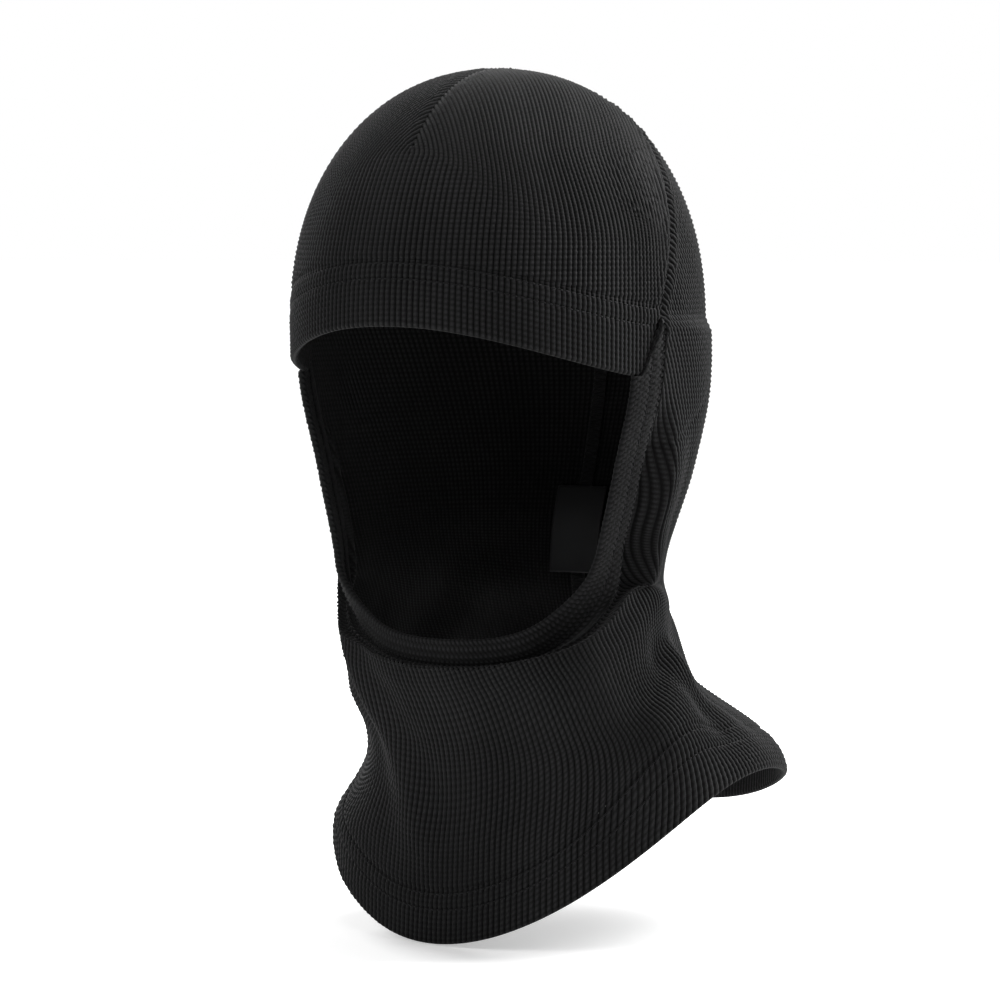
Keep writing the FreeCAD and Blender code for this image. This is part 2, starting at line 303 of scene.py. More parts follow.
def bead(phase, course):
    """Small swelling of every loop along a wale, a little different from loop to loop."""
    across = np.abs(phase - np.round(phase))
    wale = np.floor(phase)
    loop = np.round(course / COURSE)
    uneven = np.sin(wale * 78.233 + loop * 37.719) * np.cos(wale * 5.17 - loop * 91.3)
    wave = np.cos(2 * np.pi * course / COURSE)
    return (0.2 * wave * (1 + 0.4 * uneven) + 0.06 * uneven) * smooth_step(across, 0.02, 0.25)


def shade_of(phase, course):
    """Painted shade: a factor that darkens the base colour, low in the grooves and between the loops."""
    across = np.abs(phase - np.round(phase))
    wave = np.cos(2 * np.pi * course / COURSE)
    return (1 - 0.97 * np.exp(-(across / 0.24) ** 2)) * (0.64 + 0.36 * wave)


def needle_relief(distance, hem):
    """Grooves that the two needle rows of a hem pull into the cloth."""
    return sum(-0.42 * np.exp(-((distance - hem + row) / 0.9) ** 2) for row in NEEDLE_ROWS)


def seam_relief(distance, run):
    """The cloth dips into a seam and stands up beside it, where the allowance lies under it."""
    pucker = 1 + 0.35 * np.sin(2 * np.pi * run / 5.3) + 0.2 * np.sin(2 * np.pi * run / 8.7 + 1)
    return (-1.25 * np.exp(-(distance / 1.3) ** 2)
            + 0.55 * pucker * np.exp(-((np.abs(distance) - 3.6) / 2.0) ** 2))


def unit(vectors):
    return vectors / np.maximum(np.linalg.norm(vectors, axis=-1, keepdims=True), 1e-9)


def outward(grid):
    """Normals of a grid of points, pointing away from the head."""
    normal = unit(np.cross(np.gradient(grid, axis=0), np.gradient(grid, axis=1)))
    middle = np.stack((np.zeros(grid.shape[:2]), np.full(grid.shape[:2], 15.0),
                       np.minimum(grid[..., 2], 20.0)), -1)
    facing = ((grid - middle) * normal).sum(-1)
    return normal * np.where(np.median(facing) < 0, -1.0, 1.0)


def grid_faces(columns, rows):
    corner = (np.arange(columns - 1)[:, None] * rows + np.arange(rows - 1)).reshape(-1, 1)
    return corner + np.array((0, rows, rows + 1, 1))


def trim(points, quads, extras, field):
    """Keeps the part of a mesh where one of its value columns is negative."""
    value = points[:, field]
    kept = value < 0
    inside = kept[quads].sum(axis=1)
    mixed = [tuple(q) for q in quads[(inside > 0) & (inside < 4)].tolist()] + extras
    added = []
    cuts = {}
    trimmed = []
    for face in mixed:
        shape = []
        for start, end in zip(face, face[1:] + face[:1]):
            if kept[start]:
                shape.append(start)
            if kept[start] != kept[end]:
                key = (min(start, end), max(start, end))
                if key not in cuts:
                    share = value[key[0]] / (value[key[0]] - value[key[1]])
                    cuts[key] = len(points) + len(added)
                    added.append(points[key[0]] * (1 - share) + points[key[1]] * share)
                shape.append(cuts[key])
        if len(shape) > 2:
            trimmed.append(tuple(shape))
    if added:
        points = np.vstack((points, added))
    return points, quads[inside == 4], trimmed


def mesh_object(name, verts, sizes, corners, material, shade=None):
    """A smooth mesh from corner lists, in metres, with a per-point painted shade value that darkens its
    colour where it is low.
    """
    mesh = bpy.data.meshes.new(name)
    mesh.vertices.add(len(verts))
    mesh.vertices.foreach_set("co", (verts * METRES).astype(np.float32).ravel())
    mesh.loops.add(len(corners))
    mesh.loops.foreach_set("vertex_index", corners.astype(np.int32))
    mesh.polygons.add(len(sizes))
    starts = np.concatenate(((0,), np.cumsum(sizes)[:-1]))
    mesh.polygons.foreach_set("loop_start", starts.astype(np.int32))
    mesh.polygons.foreach_set("use_smooth", np.ones(len(sizes), bool))
    mesh.update(calc_edges=True)
    mesh.validate()
    # Painted shade: a per-point factor that darkens the base colour, kept as a mesh attribute.
    painted_shade_attribute = mesh.attributes.new("painted_groove_shade", "FLOAT", "POINT")
    painted_shade_attribute.data.foreach_set("value", (np.ones(len(verts)) if shade is None else shade).astype(np.float32))
    mesh.materials.append(material)
    piece = bpy.data.objects.new(name, mesh)
    bpy.context.scene.collection.objects.link(piece)
    return piece


def cloth_piece(name, points, quads, extras, material):
    """A closed sheet: outer skin in columns 0-2, inner skin in 3-5, painted shade factor in the last."""
    sizes = np.concatenate((np.full(len(quads), 4), [len(face) for face in extras])).astype(int)
    corners = np.concatenate((quads.ravel(), np.array([c for face in extras for c in face], int)))
    used, corners = np.unique(corners, return_inverse=True)
    points = points[used]
    count = len(points)
    outer, inner = points[:, :3], points[:, 3:6]
    starts = np.concatenate(((0,), np.cumsum(sizes)[:-1]))
    first = outer[corners[starts]]
    normal = np.cross(outer[corners[starts + 1]] - first, outer[corners[starts + 2]] - first)
    if (normal * (first - inner[corners[starts]])).sum() < 0:
        corners = np.concatenate([part[::-1] for part in np.split(corners, starts[1:])])
    ends = starts + sizes - 1
    after = np.arange(len(corners)) + 1
    after[ends] = starts
    tail, head = corners, corners[after]
    key = np.minimum(tail, head) * count + np.maximum(tail, head)
    _, place, uses = np.unique(key, return_index=True, return_counts=True)
    rim = place[uses == 1]
    rims = np.stack((head[rim], tail[rim], tail[rim] + count, head[rim] + count), -1)
    back = np.repeat(starts + ends, sizes) - np.arange(len(corners))
    all_corners = np.concatenate((corners, corners[back] + count, rims.ravel()))
    all_sizes = np.concatenate((sizes, sizes, np.full(len(rims), 4)))
    shade = np.concatenate((points[:, -1], points[:, -1]))
    return mesh_object(name, np.vstack((outer, inner)), all_sizes, all_corners, material, shade)


def cut_cloth(name, outer, inner, cuts, shade, material=None):
    """A closed sheet from two grids of points, kept where every cut is negative."""
    columns = [value[..., None] for value in (*cuts, shade)]
    points = np.concatenate((outer, inner, *columns), -1)
    quads = grid_faces(*points.shape[:2])
    points = points.reshape(-1, points.shape[-1])
    extras = []
    for number in range(len(cuts)):
        points, quads, extras = trim(points, quads, extras, 6 + number)
    return cloth_piece(name, points, quads, extras, material or KNIT)


def strand_piece(name, paths, normals, radius, material, taper=False):
    """Round threads along paths of equal length, each on its own surface normals."""
    paths = np.asarray(paths)
    count, length = paths.shape[:2]
    along = unit(np.gradient(paths, axis=1))
    side = unit(np.cross(along, normals))
    up = np.cross(side, along)
    thick = np.full(length, radius)
    if taper:
        thick = radius * np.sqrt(np.clip(1 - np.linspace(-0.97, 0.97, length) ** 2, 0, 1) ** 0.7)
    sides = 6
    round_angle = 2 * np.pi * np.arange(sides) / sides
    ring = (np.cos(round_angle)[:, None] * side[:, :, None, :]
            + np.sin(round_angle)[:, None] * up[:, :, None, :])
    verts = (paths[:, :, None, :] + thick[None, :, None, None] * ring).reshape(-1, 3)
    base = (np.arange(count)[:, None] * length + np.arange(length - 1)).reshape(-1, 1, 1) * sides
    around = np.arange(sides)
    after = (around + 1) % sides
    quads = np.stack((base[..., 0] + around, base[..., 0] + after, base[..., 0] + after + sides,
                      base[..., 0] + around + sides), -1).reshape(-1, 4)
    first = (np.arange(count)[:, None] * length * sides) + around[::-1]
    last = (np.arange(count)[:, None] * length * sides) + (length - 1) * sides + around
    sizes = np.concatenate((np.full(len(quads), 4), np.full(2 * count, sides)))
    corners = np.concatenate((quads.ravel(), first.ravel(), last.ravel()))
    return mesh_object(name, verts, sizes, corners, material)


# ---------------------------------------------------------------- materials

def socket(group, name, kind, way, value=None):
    made = group.interface.new_socket(name=name, in_out=way, socket_type=kind)
    if value is not None:
        made.default_value = value
    return made


def yarn_fuzz_group():
    """Fine fibre noise and slow colour wander of spun yarn."""
    group = bpy.data.node_groups.new("yarn_fuzz", "ShaderNodeTree")
    socket(group, "Fibre Scale", "NodeSocketFloat", "INPUT", 2600.0)
    socket(group, "Wander Scale", "NodeSocketFloat", "INPUT", 18.0)
    socket(group, "Wander", "NodeSocketFloat", "OUTPUT")
    socket(group, "Fibre", "NodeSocketFloat", "OUTPUT")
    nodes = group.nodes
    links = group.links
    entry = nodes.new("NodeGroupInput")
    leave = nodes.new("NodeGroupOutput")
    place = nodes.new("ShaderNodeTexCoord")
    fibre = nodes.new("ShaderNodeTexNoise")
    fibre.inputs["Detail"].default_value = 5.0
    fibre.inputs["Roughness"].default_value = 0.62
    wander = nodes.new("ShaderNodeTexNoise")
    wander.inputs["Detail"].default_value = 3.0
    links.new(place.outputs["Object"], fibre.inputs["Vector"])
    links.new(place.outputs["Object"], wander.inputs["Vector"])
    links.new(entry.outputs["Fibre Scale"], fibre.inputs["Scale"])
    links.new(entry.outputs["Wander Scale"], wander.inputs["Scale"])
    links.new(fibre.outputs["Fac"], leave.inputs["Fibre"])
    links.new(wander.outputs["Fac"], leave.inputs["Wander"])
    return group


def yarn_material(name, dark, light, rough, fuzz, sheen, fibre_scale):
    """A matt yarn whose colour and roughness wander and whose fibres stand up in the light."""
    material = bpy.data.materials.new(name)
    material.use_nodes = True
    nodes = material.node_tree.nodes
    links = material.node_tree.links
    shader = nodes["Principled BSDF"]
    yarn = nodes.new("ShaderNodeGroup")
    yarn.node_tree = FUZZ
    yarn.inputs["Fibre Scale"].default_value = fibre_scale
    blend = nodes.new("ShaderNodeMath")
    blend.operation = "MULTIPLY_ADD"
    blend.inputs[1].default_value = 0.55
    links.new(yarn.outputs["Fibre"], blend.inputs[0])
    half = nodes.new("ShaderNodeMath")
    half.operation = "MULTIPLY"
    half.inputs[1].default_value = 0.45
    links.new(yarn.outputs["Wander"], half.inputs[0])
    links.new(half.outputs[0], blend.inputs[2])
    colour = nodes.new("ShaderNodeMapRange")
    colour.inputs["From Min"].default_value = 0.3
    colour.inputs["From Max"].default_value = 0.7
    links.new(blend.outputs[0], colour.inputs["Value"])
    mix = nodes.new("ShaderNodeMix")
    mix.data_type = "RGBA"
    mix.inputs["A"].default_value = (*dark, 1)
    mix.inputs["B"].default_value = (*light, 1)
    links.new(colour.outputs["Result"], mix.inputs["Factor"])
    # Painted shade: the per-point shade attribute mixes the colour towards a twelfth of the dark tone in
    # the grooves and between the loops.
    painted_shade_attribute = nodes.new("ShaderNodeAttribute")
    painted_shade_attribute.attribute_name = "painted_groove_shade"
    deep = nodes.new("ShaderNodeMix")
    deep.data_type = "RGBA"
    deep.inputs["A"].default_value = (dark[0] * 0.12, dark[1] * 0.12, dark[2] * 0.12, 1)
    links.new(painted_shade_attribute.outputs["Fac"], deep.inputs["Factor"])
    links.new(mix.outputs["Result"], deep.inputs["B"])
    links.new(deep.outputs["Result"], shader.inputs["Base Color"])
    roughness = nodes.new("ShaderNodeMapRange")
    roughness.inputs["To Min"].default_value = rough
    roughness.inputs["To Max"].default_value = min(rough + 0.16, 1)
    links.new(yarn.outputs["Fibre"], roughness.inputs["Value"])
    links.new(roughness.outputs["Result"], shader.inputs["Roughness"])
    bump = nodes.new("ShaderNodeBump")
    bump.inputs["Strength"].default_value = 0.55
    bump.inputs["Distance"].default_value = fuzz
    links.new(yarn.outputs["Fibre"], bump.inputs["Height"])
    links.new(bump.outputs["Normal"], shader.inputs["Normal"])
    shader.inputs["Sheen Weight"].default_value = sheen
    shader.inputs["Sheen Roughness"].default_value = 0.45
    shader.inputs["Specular IOR Level"].default_value = 0.16
    return material


FUZZ = yarn_fuzz_group()
KNIT = yarn_material("charcoal_rib_knit", dark=(0.0080, 0.0081, 0.0086), light=(0.0350, 0.0353, 0.0364),
                     rough=0.72, fuzz=0.00040, sheen=0.04, fibre_scale=1500.0)
THREAD = yarn_material("sewing_thread", dark=(0.004, 0.004, 0.0044), light=(0.010, 0.010, 0.011),
                       rough=0.58, fuzz=0.00012, sheen=0.06, fibre_scale=5200.0)
LABEL = yarn_material("label_tape", dark=(0.016, 0.016, 0.017), light=(0.03, 0.03, 0.032),
                      rough=0.42, fuzz=0.00008, sheen=0.1, fibre_scale=3400.0)


# ------------------------------------------------------------------- pieces

def wale_columns(first, last):
    """Column places in wales, closer together at the grooves."""
    return (np.arange(first, last)[:, None] + WALE_STOPS).ravel()


def length_table(points):
    steps = np.linalg.norm(np.diff(points, axis=0), axis=-1)
    return np.concatenate(((0,), np.cumsum(steps)))


def hood_turns():
    """Turn of each column of the hood, so that its wales are even above the ears."""
    turn = np.linspace(-np.pi, np.pi, 2881)
    run = length_table(hood_point(turn, np.full(turn.shape, -10.0)))
    wales = run / run[-1] * HOOD_WALES
    columns = np.append(wale_columns(0, HOOD_WALES), HOOD_WALES)
    return columns, np.interp(columns, wales, turn)


def level_run(levels):
    """Length up the side of the worn shape to each level."""
    half_width, half_depth = section(levels)[:2]
    rise = np.hypot(np.diff(levels), np.diff((half_width + half_depth) / 2))
    return np.concatenate(((0,), np.cumsum(rise)))


# close steps up to level 100, then closer and closer ones to just under the crown
LEVELS = np.concatenate((np.linspace(-230, 100, 1321),
                         100 + 21.9 * np.sin(np.linspace(0, np.pi / 2, 400))[1:]))
RUN = level_run(LEVELS)

HOOD_COLUMNS, HOOD_TURNS = hood_turns()


def edge_level(turn, height):
    """Level at which the cloth is that height above the bottom edge."""
    lowest, highest = BIB_LEVELS
    return solve(lambda level: edge_distance(hood_point(turn, level)) - height,
                 np.full(turn.shape, lowest), highest)


def skins(base, normal, relief, inner_relief, depth=0.0, thick=CLOTH):
    outer = base + normal * (relief - depth)[..., None]
    inner = base - normal * (depth + thick - inner_relief)[..., None]
    return outer, inner


def hood_panel():
    lowest = edge_level(HOOD_TURNS, BOTTOM_HEM)
    start = np.interp(lowest.min(), LEVELS, RUN)
    rows = np.arange(start, RUN[-1], COURSE / 2)
    plain = np.interp(rows, RUN, LEVELS)
    above = np.maximum(plain, EVEN_ROWS_FROM)[None, :]
    share = (np.minimum(plain, EVEN_ROWS_FROM) - EVEN_ROWS_FROM)[None, :] / (lowest.min() - EVEN_ROWS_FROM)
    level = above + share * (lowest[:, None] - EVEN_ROWS_FROM)
    turn = np.broadcast_to(HOOD_TURNS[:, None], level.shape)
    form = hood_point(turn, level)
    base = worn(form, turn)
    normal = outward(base)
    phase = np.broadcast_to(HOOD_COLUMNS[:, None], level.shape)
    ahead = seam_side(form)
    edge = face_distance(form)
    course = np.broadcast_to(rows - start, level.shape)
    rear = np.abs(form[..., 0]) + np.where(form[..., 1] > 0, 0, 99)
    above_brow = smooth_step(form[..., 2], -20, 0)
    dips = (needle_relief(edge, FACE_HEM) + seam_relief(ahead, level) * above_brow
            + 0.55 * seam_relief(rear, level) - 0.6 * soft_bump(edge_distance(form), BOTTOM_HEM, 1.0))
    relief = rib(phase) + bead(phase, course) + dips
    inner_relief = -0.7 * rib(phase + 0.5) + dips * 0.4
    outer, inner = skins(base, normal, relief, inner_relief)
    shade = shade_of(phase, course)
    return cut_cloth("hood_panel_knit", outer, inner, (ahead, FACE_HEM - edge), shade)


def cap_spread():
    """Length along the brow level from the middle, and the turn that reaches it."""
    turn = np.linspace(-0.68, 0.68, 1361)
    run = length_table(front_point(turn, np.full(turn.shape, 10.0)))
    return run - run[len(run) // 2], turn


CAP_RUN, CAP_TURN = cap_spread()


def dart_gather(points_y, level, wale=0.0):
    """Width of cloth taken out at the dart, most of all beside its start."""
    behind = np.maximum(points_y - DART_START, 0)
    behind = behind ** 2 / (behind + 3.0)
    wide = DART_SHIFT * (1 + 0.6 * np.exp(-np.abs(wale) / 30.0)) * behind * smooth_step(level, 50, 92)
    return np.minimum(wide, 0.85 * CAP_HALF)


def cap_grid():
    half = int(CAP_HALF / WALE)
    columns = wale_columns(-half, half) * WALE
    rows = np.radians(np.arange(-14.0, 114.0, 0.4))
    wale, lift = np.meshgrid(columns, rows, indexing="ij")

    def at(reach):
        y = -reach * np.cos(lift)
        z = HEAD_LEVEL + reach * np.sin(lift)
        taken = dart_gather(y, z, wale)
        spread = (np.abs(wale) - taken) / (1 - taken / CAP_HALF)
        turn = np.sign(spread) * np.interp(np.abs(spread), CAP_RUN, CAP_TURN)
        x = np.where(wale < 0, -1.0, 1.0) * (100.0 - y) * np.tan(turn)
        return x, y, z, spread

    def gap(reach):
        x, y, z, _ = at(reach)
        half_width, half_depth, _, back = section(z)
        out = (x / half_width) ** 2 + ((y - back) / half_depth) ** 2 - 1
        return np.where(z > HEAD_LEVEL + CROWN_RISE, 1.0, out)

    inside = np.zeros(wale.shape)
    for reach in np.arange(5.0, 125.0, 5.0):
        inside = np.where(gap(np.full(wale.shape, reach)) < 0, reach, inside)
    x, y, z, spread = at(solve(gap, inside, inside + 5.0))
    return np.stack((x, y, z), -1), wale / WALE, spread


def cap_panel():
    form, phase, spread = cap_grid()
    normal = outward(form)
    ahead = seam_side(form)
    brow = brow_distance(form)
    course = np.interp(form[..., 2], LEVELS, RUN) + 0.5 * dart_gather(form[..., 1], form[..., 2])
    from_dart = np.abs(form[..., 0]) + 60 * (1 - smooth_step(form[..., 2], 84, 90)) * (form[..., 1] < 0)
    dips = (seam_relief(ahead, form[..., 2]) + 0.45 * seam_relief(from_dart, form[..., 1])
            - 0.6 * soft_bump(brow, FOREHEAD_HEM, 1.0))
    relief = rib(phase) + bead(phase, course) + dips
    inner_relief = -0.7 * rib(phase + 0.5) + dips * 0.4
    outer, inner = skins(form, normal, relief, inner_relief)
    shade = shade_of(phase, course)
    return cut_cloth("cap_panel_knit", outer, inner, (-ahead, FOREHEAD_HEM - brow, -spread - 0.001), shade)


def in_cap(point):
    """Negative on the cap, clear of its seam."""
    return 2.0 - seam_side(point)


def under_cap(point):
    """Negative on the hood, clear of the cap's seam and below the brow corners."""
    return np.minimum(seam_side(point), point[..., 2]) + 1.5


def anywhere(point):
    return np.full(point.shape[:-1], -1.0)


def hem_band(name, place, phases, hem, slant, keep):
    """A hem: the cloth comes down to the edge, turns under and lies behind itself."""
    distance = np.linspace(0, hem, int(hem) + 1)
    form, turns = place(distance)
    base = form if turns is None else worn(form, turns)
    normal = outward(base)
    fold = (2 * CLOTH + PLY_GAP) / 2
    turn = np.radians((0, 22, 45, 68, 90, 112, 135, 158, 180))
    flat = np.arange(hem, fold, -COURSE / 2)
    reach = np.concatenate((flat, fold - fold * np.sin(turn), flat[::-1]))
    depth = np.concatenate((0 * flat, fold - fold * np.cos(turn), 0 * flat + 2 * fold))
    tight = PLY_GAP / 2
    reach_in = np.concatenate((flat, fold - tight * np.sin(turn), flat[::-1]))
    depth_in = np.concatenate((0 * flat + CLOTH, fold - tight * np.cos(turn), 0 * flat + CLOTH + PLY_GAP))
    out_way = np.concatenate((0 * flat + 1, np.cos(turn), 0 * flat - 1))

    def lay(far, deep, lift):
        place_in = np.clip(far / hem * (len(distance) - 1), 0, len(distance) - 1.001)
        low = place_in.astype(int)
        share = (place_in - low)[None, :, None]
        point = base[:, low] * (1 - share) + base[:, low + 1] * share
        way = unit(normal[:, low] * (1 - share) + normal[:, low + 1] * share)
        return point - way * (deep[None, :] - lift)[..., None], point

    phase = phases[:, None] + slant * reach[None, :] / WALE
    across = np.broadcast_to(reach, phase.shape)
    path = np.cumsum(np.concatenate(((0,), np.hypot(np.diff(reach), np.diff(depth)))))
    shape = rib(phase) + bead(phase, np.broadcast_to(path, phase.shape))
    shape = shape + needle_relief(across, hem) - 0.6 * soft_bump(across, hem, 1.0)
    outer, point = lay(reach, depth, shape * out_way[None, :])
    inner, _ = lay(reach_in, depth_in, np.zeros(phase.shape))
    shade = shade_of(phase, np.broadcast_to(path, phase.shape))
    return cut_cloth(name, outer, inner, (keep(point),), shade), base, normal


def forehead_band():
    columns = wale_columns(-58, 58)
    turn = np.interp(columns * WALE, CAP_RUN, CAP_TURN)

    def place(distance):
        turns, distances = np.meshgrid(turn, distance, indexing="ij")
        level = solve(lambda z: brow_distance(front_point(turns, z)) - distances,
                      np.full(turns.shape, -6.0), 70.0)
        return front_point(turns, level), None

    return hem_band("forehead_hem_band", place, columns, FOREHEAD_HEM, 0.0, lambda point: -seam_side(point))


def face_rulings():
    """Straight lines over the cloth that the face hem's ribs start from, from brow to brow."""
    sides = []
    levels = np.arange(34.0, CHIN_CENTRE[1], -WALE / 4)
    for level in levels:
        sides.append((20.0, level, 1.0, 0.0))
    for angle in np.radians(np.linspace(0, 90, 190)):
        sides.append((30.0 * (1 - angle / (np.pi / 2)), CHIN_CENTRE[1], math.cos(angle), -math.sin(angle)))
    left = np.array(sides)
    right = left[::-1][1:].copy()
    right[:, 0] *= -1
    right[:, 2] *= -1
    return np.vstack((left, right))


def face_band():
    lines = face_rulings()

    def place(distance):
        reach_goal = np.broadcast_to(distance, (len(lines), len(distance)))
        start_turn, start_level, turn_way, level_way = (lines[:, i][:, None] for i in range(4))

        def at(reach):
            turn = np.radians(start_turn) + turn_way * reach / NECK_RADIUS
            return hood_point(turn, start_level + level_way * reach), turn

        return at(solve(lambda r: face_distance(at(r)[0]) - reach_goal, np.zeros(reach_goal.shape), 130.0))

    rim = place(np.array((0.0, 8.0)))[0][:, 1]
    run = length_table(rim)
    even = (np.arange(0, int(run[-1] / WALE))[:, None] + WALE_STOPS).ravel()
    lines = np.stack([np.interp(even * WALE, run, lines[:, column]) for column in range(4)], -1)

    def keep(point):
        return np.minimum(seam_side(point), point[..., 2])

    return hem_band("face_hem_band", place, even, FACE_HEM, 0.75, keep)


def bottom_band():
    def place(distance):
        turns, distances = np.meshgrid(HOOD_TURNS, distance, indexing="ij")
        return hood_point(turns, edge_level(turns, distances)), turns

    return hem_band("bottom_hem_band", place, HOOD_COLUMNS, BOTTOM_HEM, 0.0, anywhere)


def over_band(base, normal, hem, run_step, distance, lift, allowed):
    """Places along a hem at a distance from its edge, a step apart, and their normals."""
    row = distance / hem * (base.shape[1] - 1)
    low = int(row)
    share = row - low
    line = base[:, low] * (1 - share) + base[:, min(low + 1, base.shape[1] - 1)] * share
    way = unit(normal[:, low])
    run = length_table(line)
    goal = np.arange(0, run[-1], run_step)
    point = np.stack([np.interp(goal, run, line[:, axis]) for axis in range(3)], -1)
    facing = unit(np.stack([np.interp(goal, run, way[:, axis]) for axis in range(3)], -1))
    kept = allowed(point) < 0
    return point + facing * lift, facing, kept


def cover_stitch(name, base, normal, hem, allowed):
    """Two rows of needle stitches outside and the looper thread that joins them inside."""
    fine = 0.5
    looper_step = 1.5
    per_stitch = 6
    sink = np.array((-0.35, -0.02, 0.1, 0.1, -0.02, -0.35))
    paths = []
    ways = []
    for row in NEEDLE_ROWS:
        point, facing, kept = over_band(base, normal, hem, fine, hem - row, 0.0, allowed)
        point = point - facing * 0.36
        count = len(point) // per_stitch
        for number in range(count):
            pick = slice(number * per_stitch, number * per_stitch + per_stitch)
            if kept[pick].all():
                paths.append(point[pick] + facing[pick] * sink[:, None])
                ways.append(facing[pick])
    needle = strand_piece(name + "_needle_rows", np.array(paths), np.array(ways), 0.3, THREAD, True)
    inside = -(2 * CLOTH + PLY_GAP) - 0.2
    near_row, far_row = NEEDLE_ROWS
    near, near_way, near_kept = over_band(base, normal, hem, looper_step, hem - near_row, inside, allowed)
    far, _, far_kept = over_band(base, normal, hem, looper_step, hem - far_row, inside, allowed)
    count = min(len(near), len(far)) - 1
    paths = []
    ways = []
    for number in range(count):
        if not (near_kept[number] and far_kept[number] and near_kept[number + 1]):
            continue
        start, end = (near[number], far[number]) if number % 2 else (far[number], near[number])
        follow = near[number + 1] if number % 2 == 0 else far[number + 1]
        middle = (start + end) / 2 - near_way[number] * 0.25
        paths.append((start, middle, (end * 2 + follow) / 3, follow))
        ways.append(np.repeat(near_way[number][None], 4, 0))
    looper = strand_piece(name + "_looper", np.array(paths), np.array(ways), 0.2, THREAD)
    looper.parent = needle
    return needle


def seam_curve_place(across, along):
    """Points beside the cap seam: distance behind it, and angle round it from temple to temple."""
    step_x = np.cos(along)
    step_up = np.sin(along) / SEAM_SLANT

    def at(reach):
        x = reach * step_x
        z = 30.0 + reach * step_up
        y = SEAM_LEAN * z - SEAM_FRONT + across * SEAM_SLANT
        return np.stack((x, y, z), -1)

    def gap(reach):
        point = at(reach)
        half_width, half_depth, left, back = section(point[..., 2])
        out = ((point[..., 0] - left) / half_width) ** 2 + ((point[..., 1] - back) / half_depth) ** 2 - 1
        return np.where(point[..., 2] > NEAR_CROWN, 1.0, out)

    return at(solve(gap, np.zeros(across.shape), 150.0))


def dart_place(across, along):
    """Points beside the dart: distance left of it, and angle up from the front."""
    def at(reach):
        return np.stack((across, -reach * np.cos(along), HEAD_LEVEL + reach * np.sin(along)), -1)

    def gap(reach):
        point = at(reach)
        half_width, half_depth, _, back = section(point[..., 2])
        out = (point[..., 0] / half_width) ** 2 + ((point[..., 1] - back) / half_depth) ** 2 - 1
        return np.where(point[..., 2] > NEAR_CROWN, 1.0, out)

    return at(solve(gap, np.zeros(across.shape), 150.0))


def back_place(across, along):
    """Points beside the centre back seam, by length up the back."""
    level = np.interp(along, RUN, LEVELS)
    half_width, half_depth, left, back = section(level)
    y = back + half_depth * np.sqrt(np.maximum(1 - ((across - left) / half_width) ** 2, 0))
    form = np.stack((across, y, level), -1)
    turn = np.arctan2(form[..., 0] - left, -(form[..., 1] - back))
    return form + outward(form) * hood_relief(form, turn)[..., None]


def seam_strip(name, place, start, end, count):
    """The allowance of a sewn seam, pressed flat inside, and the overlock thread round it."""
    across, along = np.meshgrid(np.linspace(-STRIP_HALF, STRIP_HALF, STRIP_COLUMNS),
                                np.linspace(start, end, count), indexing="ij")
    form = place(across, along)
    normal = outward(form)
    rough = 0.16 * np.sin(np.arange(count) * 1.9)[None, :] * np.cos(across * 1.3)
    outer, inner = skins(form, normal, 0 * across, rough, CLOTH + PLY_GAP)
    strip = cut_cloth(name + "_allowance_strip", outer, inner, (), np.ones(across.shape))
    run = length_table(form[STRIP_COLUMNS // 2])
    steps = np.arange(0.6, run[-1] - 0.6, 1.25)
    paths = []
    ways = []
    inside = 2 * CLOTH + PLY_GAP + 0.2
    turning = np.array((-2.7, -1.2, 0.4, 1.8, 2.7))
    bow = np.array((-0.25, 0.1, 0.18, 0.1, -0.25))[:, None]
    spacing = 2 * STRIP_HALF / (STRIP_COLUMNS - 1)
    for number, place_on in enumerate(steps):
        index = np.interp(place_on + np.linspace(0, 0.8, 5), run, np.arange(count))
        low = np.clip(index.astype(int), 0, count - 2)
        side = turning if number % 2 else -turning
        column = np.clip((side + STRIP_HALF) / spacing, 0, STRIP_COLUMNS - 1.001)
        left = column.astype(int)
        share = (column - left)[:, None]
        point = form[left, low] * (1 - share) + form[left + 1, low] * share
        point = point + (form[left, low + 1] - form[left, low]) * (index - low)[:, None]
        way = normal[left, low]
        paths.append(point - way * (inside + bow))
        ways.append(way)
    threads = strand_piece(name + "_overlock_threads", np.array(paths), np.array(ways), 0.24, THREAD)
    return strip, threads


def care_label():
    """A blank woven label in the nape of the neck, its lower end curling inwards."""
    across, down = np.meshgrid(np.linspace(-12.0, 12.0, 25), np.linspace(0, 34.0, 36), indexing="ij")
    level = -52.0 - down
    half_width, half_depth, left, back = section(level)
    y = back + half_depth * np.sqrt(1 - ((across - left) / half_width) ** 2)
    form = np.stack((across, y, level), -1)
    normal = outward(form)
    curl = 1.6 * smooth_step(down, 14, 34) ** 2 + 0.3 * np.sin(across / 5.0) * smooth_step(down, 8, 30)
    depth = 2 * CLOTH + PLY_GAP + 0.9
    outer, inner = skins(form, normal, -curl, -curl, depth, 0.45)
    return cut_cloth("care_label_tape", outer, inner, (), np.ones(across.shape), LABEL)


hood = hood_panel()
cap = cap_panel()
forehead, forehead_base, forehead_way = forehead_band()
face, face_base, face_way = face_band()
bottom, bottom_base, bottom_way = bottom_band()


forehead_stitch = cover_stitch("forehead_cover_stitch_thread", forehead_base, forehead_way, FOREHEAD_HEM,
                               in_cap)
face_stitch = cover_stitch("face_cover_stitch_thread", face_base, face_way, FACE_HEM, under_cap)
bottom_stitch = cover_stitch("bottom_cover_stitch_thread", bottom_base, bottom_way, BOTTOM_HEM, anywhere)
cap_strip, cap_threads = seam_strip("cap_seam", seam_curve_place, math.radians(-5), math.radians(185), 300)
dart_strip, dart_threads = seam_strip("dart", dart_place, math.radians(42), math.radians(103), 110)
back_strip, back_threads = seam_strip("back_seam", back_place, float(np.interp(-160, LEVELS, RUN)),
                                      float(np.interp(114, LEVELS, RUN)), 330)
label = care_label()

